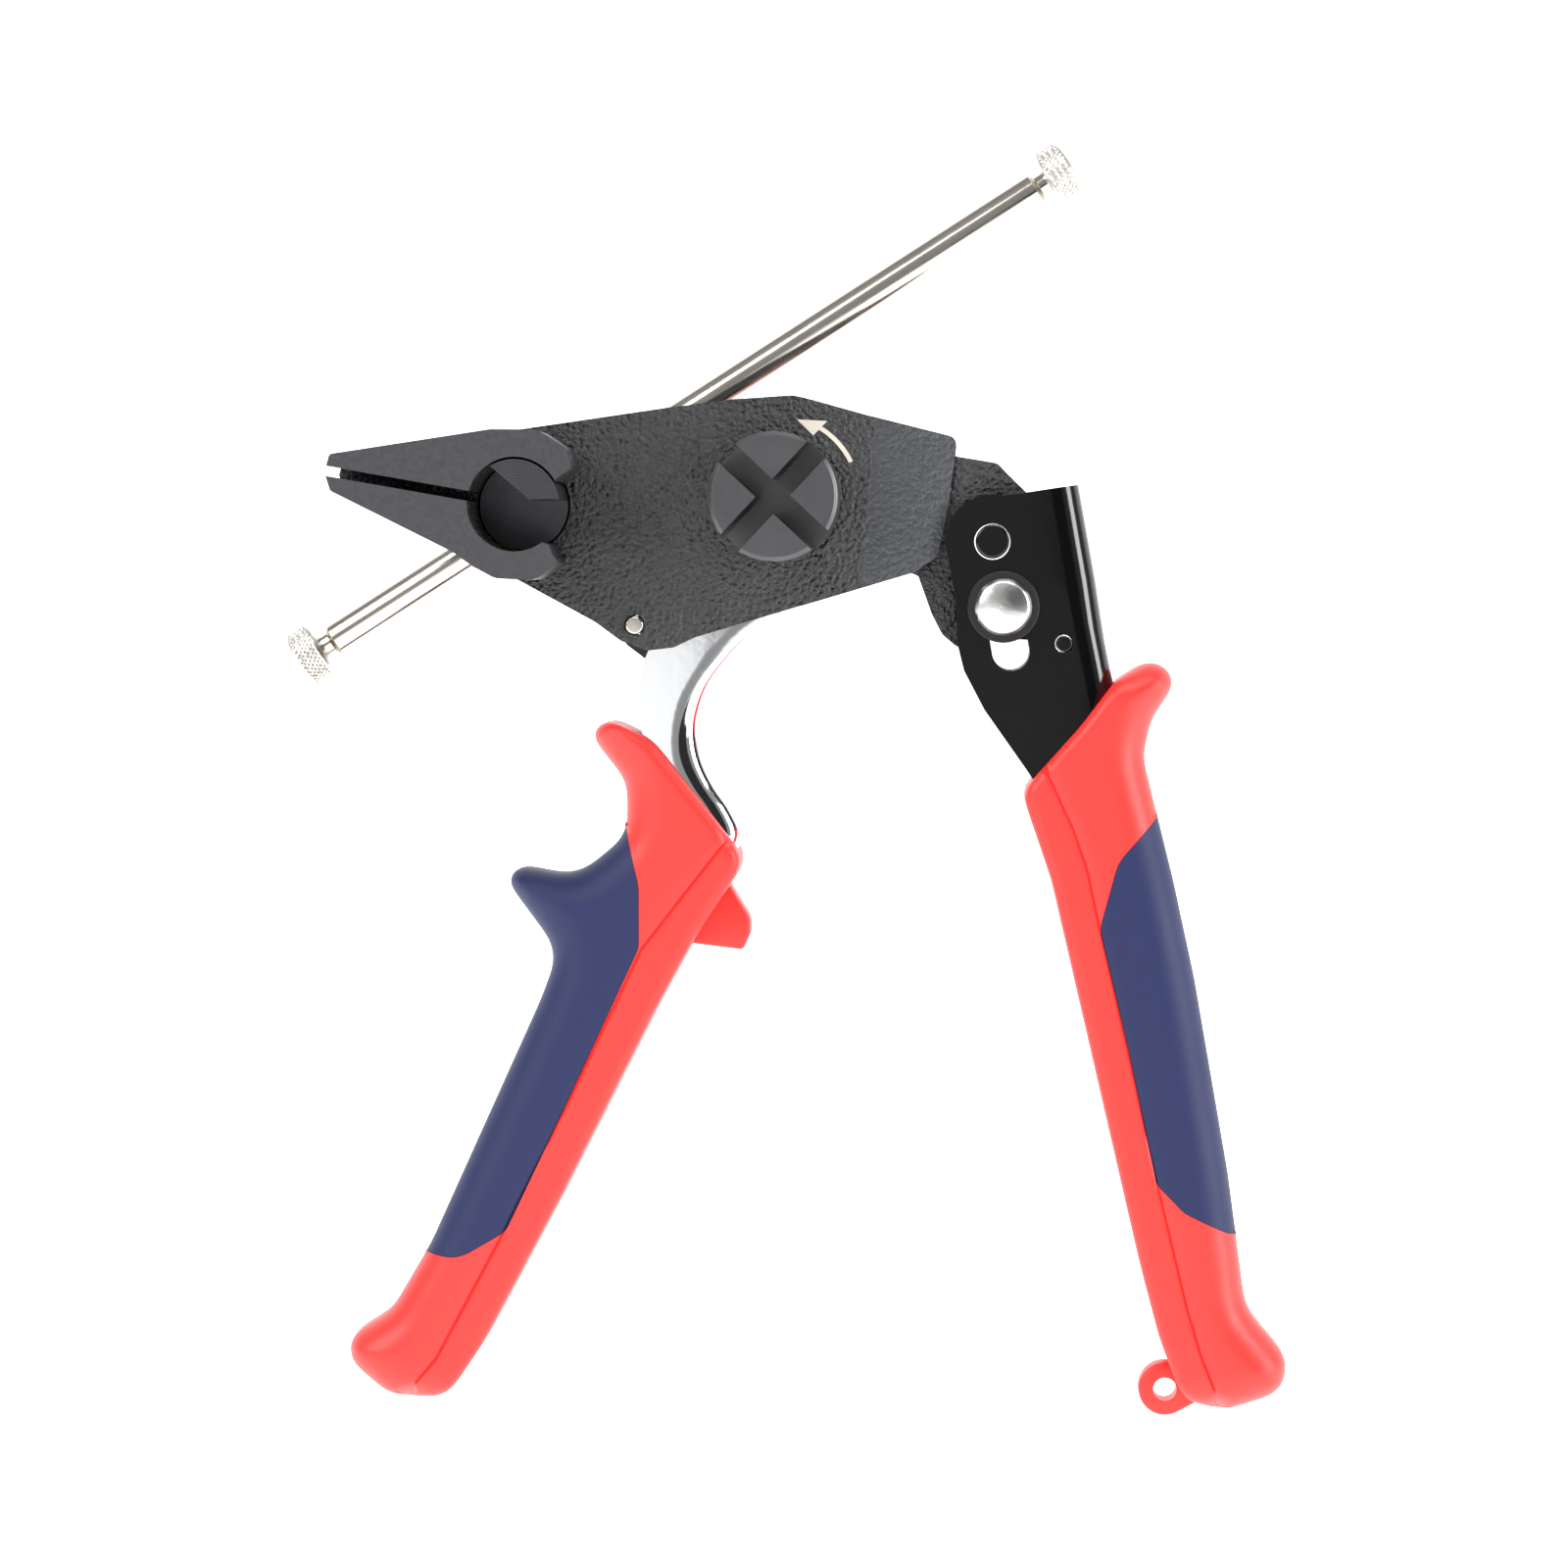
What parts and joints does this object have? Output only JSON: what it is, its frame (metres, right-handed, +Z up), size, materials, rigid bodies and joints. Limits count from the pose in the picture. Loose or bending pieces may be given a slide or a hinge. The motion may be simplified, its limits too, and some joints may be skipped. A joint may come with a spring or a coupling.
{
  "type": "strapping tensioner tool",
  "caption": "Hand tool that tensions steel banding strap with a ratchet windlass and shears it with a T-bar cutter in the nose.",
  "frame": {"origin": "where a hand carries the rear grip: inside the grip, at mid depth", "axes": "+X from the nose towards the rear handle, +Y from the strap side to the T-bar side, +Z up, with the handles pointing down"},
  "size_m": [0.2317, 0.08, 0.2903],
  "materials": {
    "casting": "semi-gloss",
    "enamel": "gloss",
    "steel": "satin",
    "bright": "gloss",
    "bronze": "satin",
    "red_grip": "satin",
    "blue_insert": "matte"
  },
  "bodies": {
    "head": {"housing": "casting", "rear_cover": "casting", "cover_screw_1": "steel", "cover_screw_2": "steel", "cover_screw_3": "steel", "cover_screw_4": "steel", "cutter_bush": "bronze", "front_windlass_bush": "bronze", "rear_windlass_bush": "bronze", "hold_pawl_pin": "bright", "handle_pivot_pin": "enamel", "lever_return_spring": "steel", "hold_pawl_spring": "steel"},
    "windlass": {"windlass": "steel", "ratchet_wheel": "steel", "windlass_retaining_ring": "steel"},
    "front_lever": {"front_lever": "bright", "drive_pawl_pin": "bright", "drive_pawl_spring": "steel", "front_grip": "red_grip", "front_insert": "blue_insert"},
    "drive_pawl": {"drive_pawl": "steel"},
    "hold_pawl": {"hold_pawl": "steel"},
    "cutter": {"cutter_shaft": "steel", "cutter_retaining_ring": "steel", "detent_ball": "bright", "detent_spring": "steel", "detent_plug": "steel"},
    "t_bar": {"t_bar": "bright", "lower_knob": "bright", "upper_knob": "bright"},
    "rear_handle": {"rear_handle": "enamel", "cross_rivet": "steel", "handle_spring": "steel", "rear_grip": "red_grip", "rear_insert": "blue_insert"},
    "slot_pin": {"slot_pin": "bright", "front_slot_washer": "steel", "rear_slot_washer": "steel", "slot_pin_nut": "steel"}
  },
  "joints": [
    {"name": "lever_squeeze", "type": "hinge", "parent": "head", "child": "front_lever", "pos_m": [-0.096, 0, 0.125], "axis": [0, -1, 0], "range_deg": [0, 40], "stiffness_Nm_per_rad": 0.8, "springref_deg": -45.84, "deforming": ["lever_return_spring"]},
    {"name": "windlass_turn", "type": "hinge", "parent": "head", "child": "windlass", "pos_m": [-0.096, -0.012, 0.125], "axis": [0, -1, 0], "range_deg": [0, 40]},
    {"name": "drive_pawl_lift", "type": "hinge", "parent": "front_lever", "child": "drive_pawl", "pos_m": [-0.0736, 0, 0.1169], "axis": [0, -1, 0], "range_deg": [-6, 0], "stiffness_Nm_per_rad": 0.1, "springref_deg": 17.19},
    {"name": "hold_pawl_swing", "type": "hinge", "parent": "head", "child": "hold_pawl", "pos_m": [-0.1281, 0, 0.0965], "axis": [0, -1, 0], "range_deg": [-8, 3], "stiffness_Nm_per_rad": 0.3},
    {"name": "cutter_turn", "type": "hinge", "parent": "head", "child": "cutter", "pos_m": [-0.1528, 0, 0.1233], "axis": [0, -1, 0], "range_deg": [0, 85]},
    {"name": "t_bar_slide", "type": "slide", "parent": "cutter", "child": "t_bar", "axis": [0.8425, 0, 0.5388], "range_m": [-0.125, 0.048]},
    {"name": "handle_swing", "type": "hinge", "parent": "head", "child": "rear_handle", "pos_m": [-0.0478, 0, 0.1153], "axis": [0, -1, 0], "range_deg": [0, 25], "stiffness_Nm_per_rad": 1.2, "springref_deg": -34.38},
    {"name": "slot_pin_slide", "type": "slide", "parent": "rear_handle", "child": "slot_pin", "axis": [0.165, 0, -0.9863], "range_m": [0, 0.0053]}
  ],
  "couplings": [
    {"joint": "windlass_turn", "follows": "lever_squeeze", "ratio": 1},
    {"joint": "slot_pin_slide", "follows": "handle_swing", "m_per_rad": 0.012}
  ]
}
